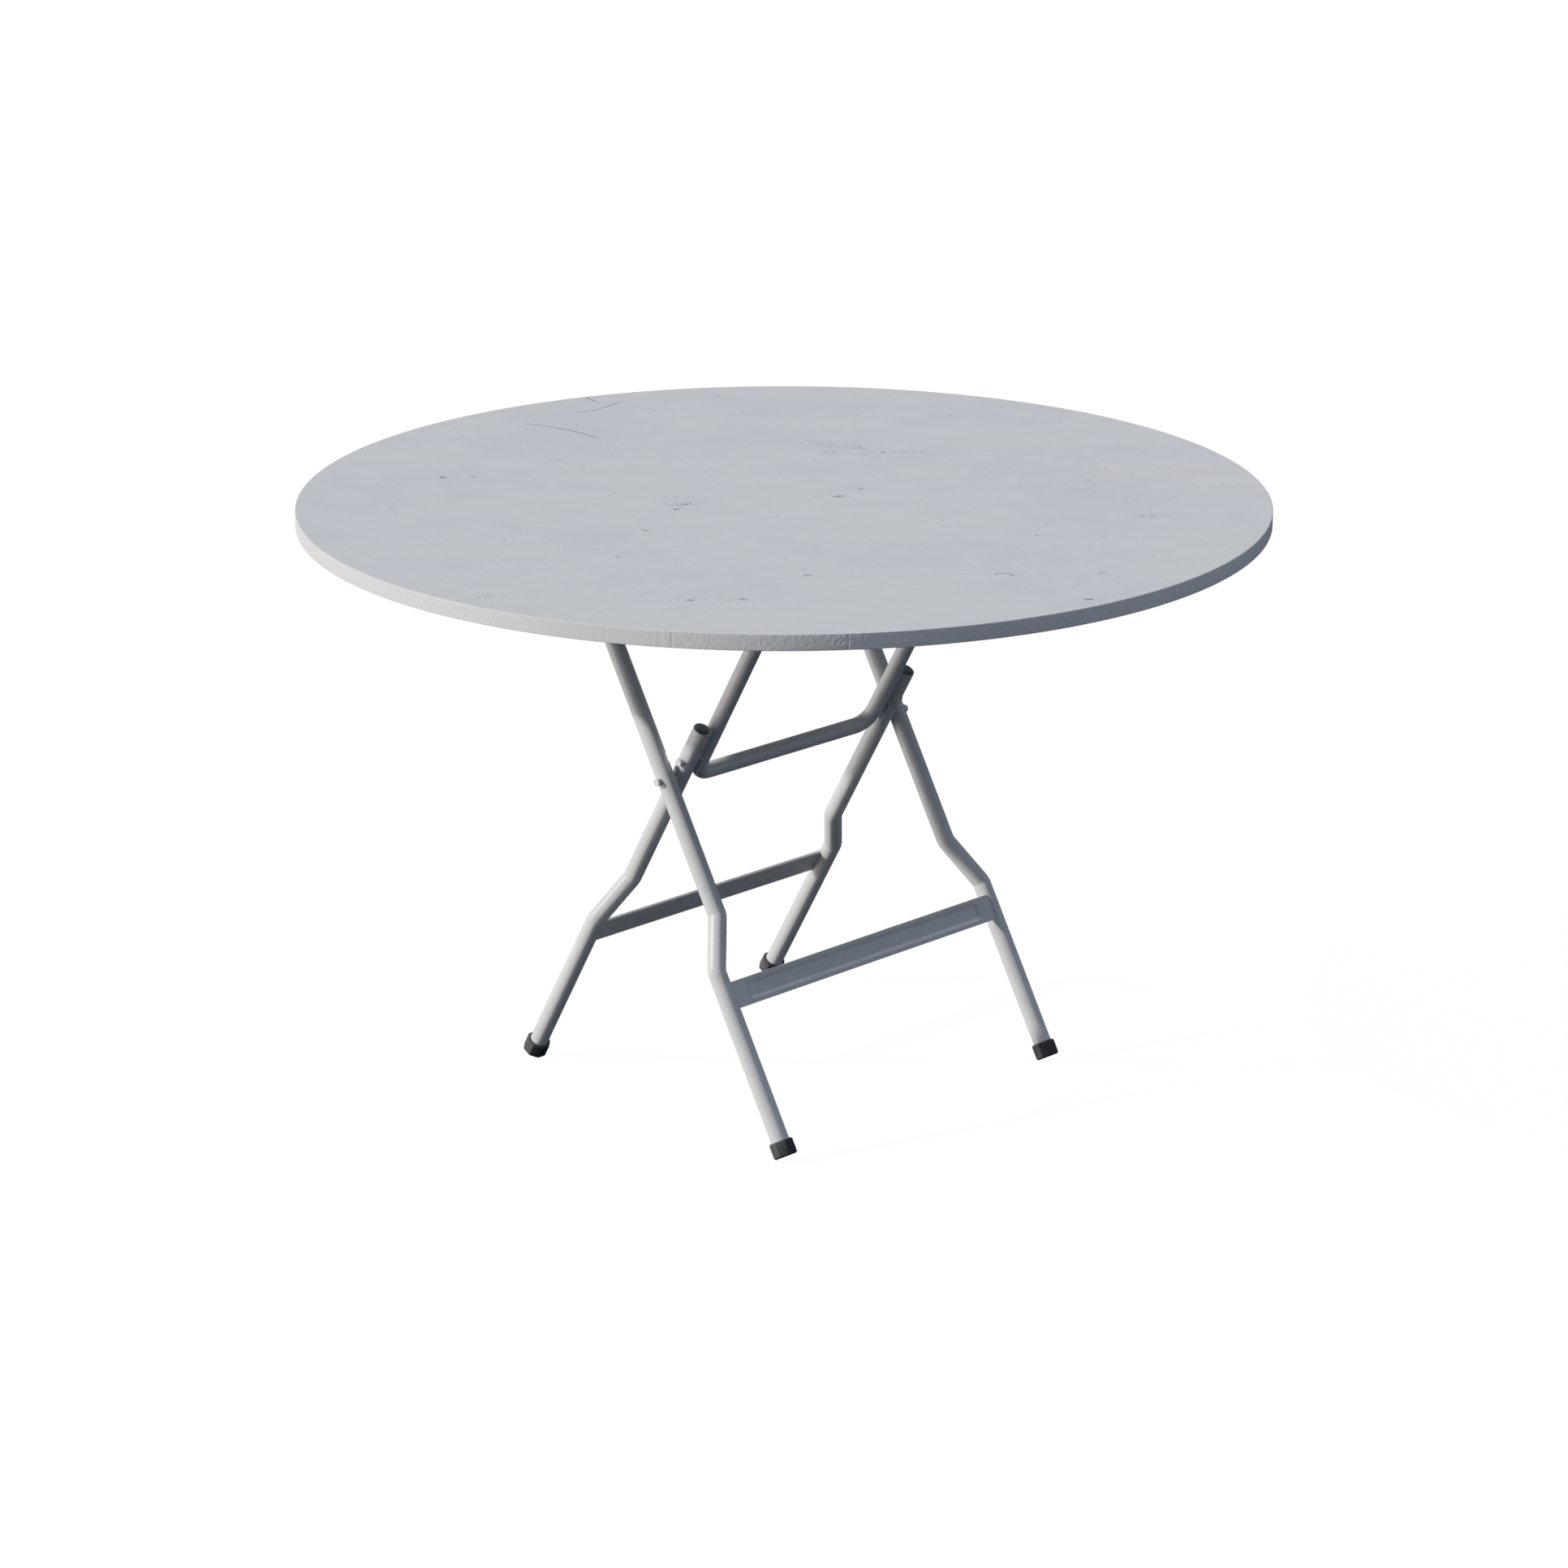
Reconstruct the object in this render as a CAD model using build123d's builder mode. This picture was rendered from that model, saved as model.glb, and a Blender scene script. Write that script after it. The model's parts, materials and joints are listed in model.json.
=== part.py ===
from build123d import *
import math
import os

os.makedirs("parts", exist_ok=True)

# ---------------------------------------------------------------- driving dimensions (mm)
TOP_DIAMETER = 1200.0
TOP_HEIGHT = 742.0
TOP_THICKNESS = 20.0
SHEET_THICKNESS = 1.0
BAND_THICKNESS = 2.0

TUBE_RADIUS = 11.5
TUBE_WALL = 1.5
LEG_ANGLE = 60.0
PIVOT_HEIGHT = 424.0
HINGE_DROP = 48.0
LEG_BEND_RADIUS = 16.0
BEND_UPPER_HEIGHT = 270.0
BEND_LOWER_HEIGHT = 214.0

FRAME_A_UPPER_Y = 203.2
FRAME_A_LOWER_Y = 236.2
FRAME_B_UPPER_Y = 178.8
FRAME_B_LOWER_Y = 212.0
BRACE_RADIUS = 10.2
BRACE_Y = 153.9
STUB_LENGTH = 78.1
TUBE_OVERRUN = 8.0

BRACE_PIN_REACH = 26.6
BRACE_BAR_REACH = -5.1
BRACE_BEND_RADIUS = 24.0

PIN_RADIUS = 4.8
PIN_PROTRUSION = 5.9
PIVOT_STANDOUT = 1.2
RUNNING_CLEARANCE = 0.06
SIDE_GAP = 0.3

SPREADER_WIDTH = 34.0
SPREADER_THICKNESS = 4.0
SPREADER_OFFSET = 6.5
SPREADER_BELOW_BEND = 34.5
PANEL_MARGIN_LONG = 5.0
PANEL_MARGIN_END = 18.0
PANEL_SLOPE = 4.5
PANEL_DEPTH = 2.4

FOOT_RADIUS = 15.5
FOOT_LENGTH = 20.0
FOOT_SOCKET = 15.0
FOOT_CHAMFER = 1.2

BATTEN_WIDTH = 50.0
BATTEN_HEIGHT = 30.0
BATTEN_LENGTH = 780.0

PLATE = 2.5
HINGE_PIN_RADIUS = 4.0
ROD_RADIUS = 5.0
SADDLE_GAP = 0.5
SADDLE_Y = 110.0
SADDLE_WIDTH = 20.0

# ---------------------------------------------------------------- derived geometry
SIN = math.sin(math.radians(LEG_ANGLE))
COS = math.cos(math.radians(LEG_ANGLE))
SIDES = {"left": -1, "right": 1}

underside = TOP_HEIGHT - TOP_THICKNESS
hinge_height = underside - HINGE_DROP
hinge_reach = (hinge_height - PIVOT_HEIGHT) / SIN
hinge_x = hinge_reach * COS
batten_bottom = underside - BATTEN_HEIGHT
plate_bottom = batten_bottom - PLATE
bend_upper = (PIVOT_HEIGHT - BEND_UPPER_HEIGHT) / SIN
bend_lower = (PIVOT_HEIGHT - BEND_LOWER_HEIGHT) / SIN
spreader_reach = bend_lower + SPREADER_BELOW_BEND
foot_end = (PIVOT_HEIGHT - (FOOT_RADIUS - FOOT_CHAMFER) * COS) / SIN
foot_start = foot_end - FOOT_LENGTH
tube_end = foot_start + FOOT_SOCKET
brace_pin_x = BRACE_PIN_REACH * COS
brace_pin_z = PIVOT_HEIGHT + BRACE_PIN_REACH * SIN


def along(lean, reach, y):
    """Point at a reach below the scissor pivot on a leg; lean is +1 for frame A, -1 for frame B."""
    return Vector(lean * reach * COS, y, PIVOT_HEIGHT - reach * SIN)


def leg_plane(lean, reach, y=0.0):
    """Plane across a leg: z along the tube towards the floor, x outwards from the table."""
    return Plane(
        origin=along(lean, reach, y),
        x_dir=Vector(lean * SIN, 0, COS),
        z_dir=Vector(lean * COS, 0, -SIN),
    )


def side_plane(y):
    """XZ plane at a given y; a positive extrusion runs towards -Y."""
    return Plane.XZ.offset(-y)


def span(sign, near, far):
    """Highest y and the length of a span between two distances from the middle."""
    low, high = sorted((sign * near, sign * far))
    return high, high - low


def tube_along(points, bend_radius, outer, wall=None):
    """Round tube, or solid bar if no wall is given, along straight runs joined by bends."""
    with BuildPart() as tube:
        with BuildLine() as route:
            FilletPolyline(*points, radius=bend_radius)
        start = route.line @ 0
        with BuildSketch(Plane(origin=start, z_dir=route.line % 0)):
            Circle(outer)
            if wall:
                Circle(outer - wall, mode=Mode.SUBTRACT)
        sweep()
    return tube.part


def rod_y(x, z, radius, sign, near, far):
    """Round bar along Y between two distances from the middle, on one side."""
    high, length = span(sign, near, far)
    with BuildPart() as rod:
        with BuildSketch(side_plane(high)):
            with Locations((x, z)):
                Circle(radius)
        extrude(amount=length)
    return rod.part


def pan_screw(x, y, seat, shank, radius=2.0):
    """Pan-head screw pointing up, its head under the seat height."""
    with BuildPart() as screw:
        with BuildSketch(Plane.XY.offset(seat)):
            with Locations((x, y)):
                Circle(radius)
        extrude(amount=shank)
        with BuildSketch(Plane.XY.offset(seat)):
            with Locations((x, y)):
                Circle(radius * 1.9)
        extrude(amount=-radius * 1.1)
        rim = screw.faces().sort_by(Axis.Z)[0].edges()
        fillet(rim, radius * 0.6)
    return screw.part


def flat_screw(x, y, seat, shank, radius=2.25):
    """Countersunk screw pointing up, its head flush with the seat height."""
    with BuildPart() as screw:
        with BuildSketch(Plane.XY.offset(seat)):
            with Locations((x, y)):
                Circle(radius * 2)
        with BuildSketch(Plane.XY.offset(seat + radius)):
            with Locations((x, y)):
                Circle(radius)
        loft()
        with BuildSketch(Plane.XY.offset(seat)):
            with Locations((x, y)):
                Circle(radius)
        extrude(amount=shank)
    return screw.part


def write(piece, label):
    piece.label = label
    export_step(piece, f"parts/{label}.step")


# ---------------------------------------------------------------- fasteners
batten_spacing = BATTEN_LENGTH / 3.6
batten_screw_list = [
    flat_screw(lean * hinge_x, place * batten_spacing + 30.0 * place, batten_bottom, 44.0)
    for lean in (-1, 1)
    for place in (-1.5, -0.5, 0.5, 1.5)
]
hinge_screw_list = [
    pan_screw(-hinge_x + dx, sign * (FRAME_A_UPPER_Y + dy), plate_bottom, 22.0)
    for sign in SIDES.values()
    for dx in (-16, 16)
    for dy in (-21, 21)
]
saddle_screw_list = [
    pan_screw(hinge_x + dx, sign * (SADDLE_Y + dy), plate_bottom, 22.0)
    for sign in SIDES.values()
    for dx in (-15, 15)
    for dy in (-18, 18)
]
latch_x = hinge_x - 28.4
latch_z = hinge_height + 6.0
latch_screw_list = [pan_screw(latch_x, sign * 18.0, plate_bottom, 22.0) for sign in (-1, 1)]

# ---------------------------------------------------------------- table top
core_radius = TOP_DIAMETER / 2 - BAND_THICKNESS

with BuildPart() as bottom_sheet:
    with BuildSketch(Plane.XY.offset(underside)):
        Circle(core_radius)
    extrude(amount=SHEET_THICKNESS)
    add(batten_screw_list, mode=Mode.SUBTRACT)
write(bottom_sheet.part, "bottom_sheet")

with BuildPart() as top_core:
    with BuildSketch(Plane.XY.offset(underside + SHEET_THICKNESS)):
        Circle(core_radius)
    extrude(amount=TOP_THICKNESS - 2 * SHEET_THICKNESS)
    add(batten_screw_list, mode=Mode.SUBTRACT)
write(top_core.part, "top_core")

with BuildPart() as top_sheet:
    with BuildSketch(Plane.XY.offset(TOP_HEIGHT - SHEET_THICKNESS)):
        Circle(core_radius)
    extrude(amount=SHEET_THICKNESS)
write(top_sheet.part, "top_sheet")

with BuildPart() as edge_band:
    with BuildSketch(Plane.XY.offset(underside)):
        Circle(TOP_DIAMETER / 2)
    extrude(amount=TOP_THICKNESS)
    corners = edge_band.edges().filter_by(GeomType.CIRCLE)
    fillet(corners, BAND_THICKNESS * 0.7)
    with BuildSketch(Plane.XY.offset(underside)):
        Circle(core_radius)
    extrude(amount=TOP_THICKNESS, mode=Mode.SUBTRACT)
write(edge_band.part, "edge_band")

# ---------------------------------------------------------------- battens
for lean, name in ((-1, "batten_hinge_side"), (1, "batten_latch_side")):
    with BuildPart() as batten:
        with BuildSketch(Plane.XY.offset(batten_bottom)):
            with Locations((lean * hinge_x, 0)):
                RectangleRounded(BATTEN_WIDTH, BATTEN_LENGTH, 6.0)
        extrude(amount=BATTEN_HEIGHT)
        fillet(batten.faces().sort_by(Axis.Z)[0].edges(), 3.0)
        add(batten_screw_list, mode=Mode.SUBTRACT)
        add(hinge_screw_list, mode=Mode.SUBTRACT)
        add(saddle_screw_list, mode=Mode.SUBTRACT)
        add(latch_screw_list, mode=Mode.SUBTRACT)
    write(batten.part, name)

for screws, name in (
    (batten_screw_list, "batten_screws"),
    (hinge_screw_list, "hinge_bracket_screws"),
    (saddle_screw_list, "saddle_screws"),
    (latch_screw_list, "latch_screws"),
):
    with BuildPart() as fasteners:
        add(screws)
    write(fasteners.part, name)

# ---------------------------------------------------------------- clevis brackets and hinge bolts
ear_gap = TUBE_RADIUS + 0.4
ear_radius = 13.0

for side, sign in SIDES.items():
    with BuildPart() as hinge_bracket:
        with BuildSketch(Plane.XY.offset(plate_bottom)):
            with Locations((-hinge_x, sign * FRAME_A_UPPER_Y)):
                RectangleRounded(BATTEN_WIDTH, 54.0, 4.0)
        extrude(amount=PLATE)
        for offset_y in (-ear_gap - PLATE, ear_gap):
            ear_y = sign * FRAME_A_UPPER_Y + offset_y
            with BuildSketch(side_plane(ear_y + PLATE)):
                with Locations((-hinge_x, hinge_height)):
                    Circle(ear_radius)
                with Locations((-hinge_x, (hinge_height + plate_bottom) / 2)):
                    Rectangle(2 * ear_radius, plate_bottom - hinge_height)
                with Locations((-hinge_x, hinge_height)):
                    Circle(HINGE_PIN_RADIUS, mode=Mode.SUBTRACT)
            extrude(amount=PLATE)
        add(hinge_screw_list, mode=Mode.SUBTRACT)
    write(hinge_bracket.part, f"hinge_bracket_{side}")

    bolt_near = FRAME_A_UPPER_Y - ear_gap - PLATE
    bolt_far = FRAME_A_UPPER_Y + ear_gap + PLATE
    with BuildPart() as hinge_pin:
        add(rod_y(-hinge_x, hinge_height, HINGE_PIN_RADIUS, sign, bolt_near - 8.0, bolt_far))
        high, length = span(sign, bolt_far, bolt_far + 5.0)
        with BuildSketch(side_plane(high)):
            with Locations((-hinge_x, hinge_height)):
                RegularPolygon(6.5, 6, major_radius=False)
        extrude(amount=length)
    write(hinge_pin.part, f"hinge_pin_{side}")

with BuildPart() as hinge_nuts:
    for sign in SIDES.values():
        high, length = span(sign, bolt_near - 6.5, bolt_near)
        with BuildSketch(side_plane(high)):
            with Locations((-hinge_x, hinge_height)):
                RegularPolygon(6.5, 6, major_radius=False)
                Circle(HINGE_PIN_RADIUS, mode=Mode.SUBTRACT)
        extrude(amount=length)
write(hinge_nuts.part, "hinge_nuts")

# ---------------------------------------------------------------- saddles for the lock rod
slot_radius = ROD_RADIUS + SADDLE_GAP

for side, sign in SIDES.items():
    with BuildPart() as saddle:
        with BuildSketch(Plane.XY.offset(plate_bottom)):
            with Locations((hinge_x, sign * SADDLE_Y)):
                RectangleRounded(BATTEN_WIDTH - 6.0, 50.0, 4.0)
        extrude(amount=PLATE)
        high, length = span(sign, SADDLE_Y - SADDLE_WIDTH / 2, SADDLE_Y + SADDLE_WIDTH / 2)
        with BuildSketch(side_plane(high)):
            with BuildLine():
                Polyline(
                    (hinge_x - 10.5, plate_bottom),
                    (hinge_x - 10.5, hinge_height - 9.0),
                    (hinge_x + 12.0, hinge_height - 9.0),
                    (hinge_x + 16.0, hinge_height - slot_radius - 1.0),
                    (hinge_x + 16.0, hinge_height - slot_radius),
                    (hinge_x, hinge_height - slot_radius),
                    (hinge_x, hinge_height + slot_radius),
                    (hinge_x + 16.0, hinge_height + slot_radius + 3.2),
                    (hinge_x + 16.0, plate_bottom),
                    close=True,
                )
            make_face()
            with Locations((hinge_x, hinge_height)):
                Circle(slot_radius, mode=Mode.SUBTRACT)
        extrude(amount=length)
        add(saddle_screw_list, mode=Mode.SUBTRACT)
    write(saddle.part, f"saddle_{side}")

# ---------------------------------------------------------------- latch
LATCH_WIDTH = 8.0
LATCH_PIN_RADIUS = 3.0
LATCH_EAR_GAP = 9.0
latch_drop = latch_z - plate_bottom

with BuildPart() as latch_bracket:
    with BuildSketch(Plane.XY.offset(plate_bottom)):
        with Locations((latch_x, 0)):
            RectangleRounded(24.0, 50.0, 4.0)
    extrude(amount=PLATE)
    for ear_y in (-LATCH_EAR_GAP, LATCH_EAR_GAP + PLATE):
        with BuildSketch(side_plane(ear_y)):
            with Locations((latch_x, latch_z)):
                Circle(7.5)
            with Locations((latch_x, latch_z - latch_drop / 2)):
                Rectangle(15.0, abs(latch_drop))
            with Locations((latch_x, latch_z)):
                Circle(LATCH_PIN_RADIUS, mode=Mode.SUBTRACT)
        extrude(amount=PLATE)
    add(latch_screw_list, mode=Mode.SUBTRACT)
write(latch_bracket.part, "latch_bracket")

pin_half = LATCH_EAR_GAP + PLATE
with BuildPart() as latch_pin:
    with BuildSketch(side_plane(pin_half)):
        with Locations((latch_x, latch_z)):
            Circle(LATCH_PIN_RADIUS)
    extrude(amount=2 * pin_half)
    for end in (-pin_half, pin_half + 1.5):
        with BuildSketch(side_plane(end)):
            with Locations((latch_x, latch_z)):
                Circle(LATCH_PIN_RADIUS + 1.5)
        extrude(amount=1.5)
write(latch_pin.part, "latch_pin")

with BuildPart() as latch_lever:
    with BuildSketch(side_plane(LATCH_WIDTH / 2)):
        with BuildLine():
            Polyline(
                (latch_x - 4.0, latch_z - 6.0),
                (latch_x + 14.0, hinge_height - 12.5),
                (hinge_x + 4.5, hinge_height - 12.5),
                (hinge_x + 5.5, hinge_height - 34.0),
                (hinge_x + 11.5, hinge_height - 34.0),
                (hinge_x + 14.0, hinge_height - 11.0),
                (hinge_x + 12.5, hinge_height - 6.0),
                (hinge_x + 8.2, hinge_height + 2.0),
                (hinge_x + 5.9, hinge_height + 2.0),
                (hinge_x + 5.9, hinge_height - 6.5),
                (hinge_x - 9.0, hinge_height - 6.5),
                (latch_x + 6.0, latch_z + 3.5),
                close=True,
            )
        make_face()
        with Locations((latch_x, latch_z)):
            Circle(7.0)
        with Locations((latch_x, latch_z)):
            Circle(LATCH_PIN_RADIUS + RUNNING_CLEARANCE, mode=Mode.SUBTRACT)
    extrude(amount=LATCH_WIDTH)
write(latch_lever.part, "latch_lever")

with BuildPart() as latch_spring:
    with BuildLine() as coil:
        Helix(pitch=1.3, height=3.2, radius=4.4, center=(latch_x, 4.9, latch_z), direction=(0, 1, 0))
    with BuildSketch(Plane(origin=coil.line @ 0, z_dir=coil.line % 0)):
        Circle(0.5)
    sweep(is_frenet=True)
write(latch_spring.part, "latch_spring")

# ---------------------------------------------------------------- leg tubes
POCKET_HALF = PIN_RADIUS + 1.2
POCKET_DEPTH = PIN_PROTRUSION + 0.5
POCKET_START = 76.0
POCKET_SWEEP = 42.0
gap_y = FRAME_A_UPPER_Y - TUBE_RADIUS


def leg_points(lean, top_reach, sign, upper_y, lower_y):
    return [
        along(lean, -top_reach, sign * upper_y),
        along(lean, bend_upper, sign * upper_y),
        along(lean, bend_lower, sign * lower_y),
        along(lean, tube_end, sign * lower_y),
    ]


def pivot_point(angle, radius):
    """Point in the XZ plane at an angle and a distance from the scissor pivot."""
    turn = math.radians(angle)
    return (radius * math.cos(turn), PIVOT_HEIGHT + radius * math.sin(turn))


def pocket(sign, half, depth):
    """Curved pocket about the scissor pivot that lets the brace pin's head pass frame A."""
    high, length = span(sign, gap_y - 1.0, gap_y + depth)
    middle = POCKET_START + POCKET_SWEEP / 2
    with BuildPart() as cut:
        with BuildSketch(side_plane(high)):
            with Locations((0, PIVOT_HEIGHT)):
                Circle(BRACE_PIN_REACH + half)
                Circle(BRACE_PIN_REACH - half, mode=Mode.SUBTRACT)
            with BuildLine():
                Polyline(
                    (0, PIVOT_HEIGHT),
                    pivot_point(POCKET_START, 2 * BRACE_PIN_REACH),
                    pivot_point(middle, 2 * BRACE_PIN_REACH),
                    pivot_point(POCKET_START + POCKET_SWEEP, 2 * BRACE_PIN_REACH),
                    close=True,
                )
            make_face(mode=Mode.INTERSECT)
            with Locations(
                pivot_point(POCKET_START, BRACE_PIN_REACH),
                pivot_point(POCKET_START + POCKET_SWEEP, BRACE_PIN_REACH),
            ):
                Circle(half)
        extrude(amount=length)
    return cut.part


for side, sign in SIDES.items():
    route_a = leg_points(1, hinge_reach + TUBE_OVERRUN, sign, FRAME_A_UPPER_Y, FRAME_A_LOWER_Y)
    solid_a = tube_along(route_a, LEG_BEND_RADIUS, TUBE_RADIUS)
    with BuildPart() as pocket_wall:
        add(pocket(sign, POCKET_HALF + TUBE_WALL, POCKET_DEPTH + TUBE_WALL))
        add(solid_a, mode=Mode.INTERSECT)
    with BuildPart() as leg_a:
        add(tube_along(route_a, LEG_BEND_RADIUS, TUBE_RADIUS, TUBE_WALL))
        add(pocket_wall.part)
        add(pocket(sign, POCKET_HALF, POCKET_DEPTH), mode=Mode.SUBTRACT)
        add(rod_y(0, PIVOT_HEIGHT, PIN_RADIUS, sign, 150.0, 250.0), mode=Mode.SUBTRACT)
        add(
            rod_y(-hinge_x, hinge_height, HINGE_PIN_RADIUS + RUNNING_CLEARANCE, sign, 150.0, 250.0),
            mode=Mode.SUBTRACT,
        )
    write(leg_a.part, f"leg_a_{side}")

    route_b = leg_points(-1, STUB_LENGTH, sign, FRAME_B_UPPER_Y, FRAME_B_LOWER_Y)
    with BuildPart() as leg_b:
        add(tube_along(route_b, LEG_BEND_RADIUS, TUBE_RADIUS, TUBE_WALL))
        add(
            rod_y(0, PIVOT_HEIGHT, PIN_RADIUS + RUNNING_CLEARANCE, sign, 150.0, 250.0),
            mode=Mode.SUBTRACT,
        )
        add(rod_y(brace_pin_x, brace_pin_z, PIN_RADIUS, sign, 150.0, 250.0), mode=Mode.SUBTRACT)
    write(leg_b.part, f"leg_b_{side}")

# ---------------------------------------------------------------- spreader bars
for lean, name, lower_y in ((1, "spreader_a", FRAME_A_LOWER_Y), (-1, "spreader_b", FRAME_B_LOWER_Y)):
    bar_plane = leg_plane(lean, spreader_reach)
    face_plane = Plane(
        origin=bar_plane.origin + bar_plane.x_dir * (SPREADER_OFFSET - SPREADER_THICKNESS / 2),
        x_dir=(0, 1, 0),
        z_dir=bar_plane.x_dir,
    )
    panel_plane = Plane(
        origin=bar_plane.origin
        + bar_plane.x_dir * (SPREADER_OFFSET + SPREADER_THICKNESS / 2 - PANEL_DEPTH),
        x_dir=(0, 1, 0),
        z_dir=bar_plane.x_dir,
    )
    bar_length = 2 * lower_y
    panel_length = 2 * (lower_y - TUBE_RADIUS - PANEL_MARGIN_END)
    flank_planes = [leg_plane(lean, spreader_reach - 60.0, sign * lower_y) for sign in (-1, 1)]
    with BuildPart() as flanks:
        with BuildSketch(*flank_planes):
            Circle(TUBE_RADIUS)
        extrude(amount=120.0)
    panel_width = SPREADER_WIDTH - 2 * PANEL_MARGIN_LONG
    with BuildPart() as pressing:
        with BuildSketch(panel_plane):
            RectangleRounded(panel_length - 2 * PANEL_SLOPE, panel_width - 2 * PANEL_SLOPE, 3.0)
        with BuildSketch(panel_plane.offset(PANEL_DEPTH)):
            RectangleRounded(panel_length, panel_width, 3.0 + PANEL_SLOPE)
        loft()
    with BuildPart() as spreader:
        with BuildSketch(face_plane):
            Rectangle(bar_length, SPREADER_WIDTH)
        extrude(amount=SPREADER_THICKNESS)
        long_edges = spreader.edges().filter_by(Axis.Y)
        fillet(long_edges, 0.8)
        add(pressing.part, mode=Mode.SUBTRACT)
        add(flanks.part, mode=Mode.SUBTRACT)
    write(spreader.part, name)

# ---------------------------------------------------------------- rubber feet
for lean, frame, lower_y in ((1, "a", FRAME_A_LOWER_Y), (-1, "b", FRAME_B_LOWER_Y)):
    for side, sign in SIDES.items():
        mouth = leg_plane(lean, foot_start, sign * lower_y)
        with BuildPart() as foot:
            with BuildSketch(mouth):
                Circle(FOOT_RADIUS)
            extrude(amount=FOOT_LENGTH)
            rims = foot.edges().filter_by(GeomType.CIRCLE)
            chamfer(rims, FOOT_CHAMFER)
            with BuildSketch(mouth):
                Circle(TUBE_RADIUS)
            extrude(amount=FOOT_SOCKET, mode=Mode.SUBTRACT)
        write(foot.part, f"foot_{frame}_{side}")

# ---------------------------------------------------------------- pins of the scissor and of the brace
pivot_outer = FRAME_A_UPPER_Y + TUBE_RADIUS + PIN_PROTRUSION
pivot_inner = FRAME_B_UPPER_Y - TUBE_RADIUS - PIVOT_STANDOUT
brace_outer = FRAME_B_UPPER_Y + TUBE_RADIUS + PIN_PROTRUSION
brace_inner = BRACE_Y - PIN_RADIUS

for side, sign in SIDES.items():
    with BuildPart() as pivot_pin:
        add(rod_y(0, PIVOT_HEIGHT, PIN_RADIUS, sign, pivot_inner, pivot_outer))
        outer_rim = pivot_pin.edges().filter_by(GeomType.CIRCLE).sort_by(Axis.Y)[-1 if sign > 0 else 0]
        chamfer(outer_rim, 0.5)
    write(pivot_pin.part, f"pivot_pin_{side}")

    with BuildPart() as brace_pin:
        add(rod_y(brace_pin_x, brace_pin_z, PIN_RADIUS, sign, brace_inner, brace_outer))
        outer_rim = brace_pin.edges().filter_by(GeomType.CIRCLE).sort_by(Axis.Y)[-1 if sign > 0 else 0]
        chamfer(outer_rim, 0.5)
    write(brace_pin.part, f"brace_pin_{side}")

# ---------------------------------------------------------------- brace
with BuildPart() as brace_tube:
    add(
        tube_along(
            [
                along(-1, -hinge_reach - TUBE_OVERRUN, -BRACE_Y),
                along(-1, -BRACE_BAR_REACH, -BRACE_Y),
                along(-1, -BRACE_BAR_REACH, BRACE_Y),
                along(-1, -hinge_reach - TUBE_OVERRUN, BRACE_Y),
            ],
            BRACE_BEND_RADIUS,
            BRACE_RADIUS,
            TUBE_WALL,
        )
    )
    for sign in SIDES.values():
        add(
            rod_y(brace_pin_x, brace_pin_z, PIN_RADIUS + RUNNING_CLEARANCE, sign, BRACE_Y, 180.0),
            mode=Mode.SUBTRACT,
        )
        add(rod_y(hinge_x, hinge_height, ROD_RADIUS, sign, 120.0, 180.0), mode=Mode.SUBTRACT)
write(brace_tube.part, "brace_tube")

STOP_RADIUS = 19.5
STOP_HALF_WIDTH = 11.0
STOP_TOP = 6.4
STOP_SHOULDER = 5.8
stop_near = BRACE_Y + BRACE_RADIUS
stop_far = FRAME_B_UPPER_Y - TUBE_RADIUS - SIDE_GAP

for side, sign in SIDES.items():
    high, length = span(sign, stop_near, stop_far)
    plate_plane = Plane(origin=(brace_pin_x, high, brace_pin_z), x_dir=(COS, 0, SIN), z_dir=(0, -1, 0))
    with BuildPart() as stop_plate:
        with BuildSketch(plate_plane):
            Circle(STOP_RADIUS)
            with Locations((0, 0)):
                Rectangle(2 * STOP_RADIUS, 2 * STOP_HALF_WIDTH, mode=Mode.INTERSECT)
            with Locations((STOP_TOP + STOP_RADIUS, 0)):
                Rectangle(2 * STOP_RADIUS, 4 * STOP_HALF_WIDTH, mode=Mode.SUBTRACT)
            with Locations((-BRACE_PIN_REACH + 8.0, PIN_RADIUS + SIDE_GAP + STOP_SHOULDER / 2)):
                Rectangle(24.0, STOP_SHOULDER)
            Circle(PIN_RADIUS + RUNNING_CLEARANCE, mode=Mode.SUBTRACT)
        extrude(amount=length)
    write(stop_plate.part, f"stop_plate_{side}")

ROD_HALF = BRACE_Y + BRACE_RADIUS + 1.0
CAP_RADIUS = 8.0
with BuildPart() as lock_rod:
    with BuildSketch(side_plane(ROD_HALF)):
        with Locations((hinge_x, hinge_height)):
            Circle(ROD_RADIUS)
    extrude(amount=2 * ROD_HALF)
write(lock_rod.part, "lock_rod")

with BuildPart() as rod_caps:
    for sign in SIDES.values():
        add(rod_y(hinge_x, hinge_height, CAP_RADIUS, sign, BRACE_Y + BRACE_RADIUS, ROD_HALF + 2.5))
    rims = rod_caps.edges().filter_by(GeomType.CIRCLE).group_by(Axis.Y)
    fillet(rims[0] + rims[-1], 1.5)
    with BuildSketch(side_plane(ROD_HALF)):
        with Locations((hinge_x, hinge_height)):
            Circle(ROD_RADIUS)
    extrude(amount=2 * ROD_HALF, mode=Mode.SUBTRACT)
write(rod_caps.part, "rod_caps")
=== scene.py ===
import json
import math

import bmesh
import bpy
from mathutils import Matrix, Vector


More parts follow.
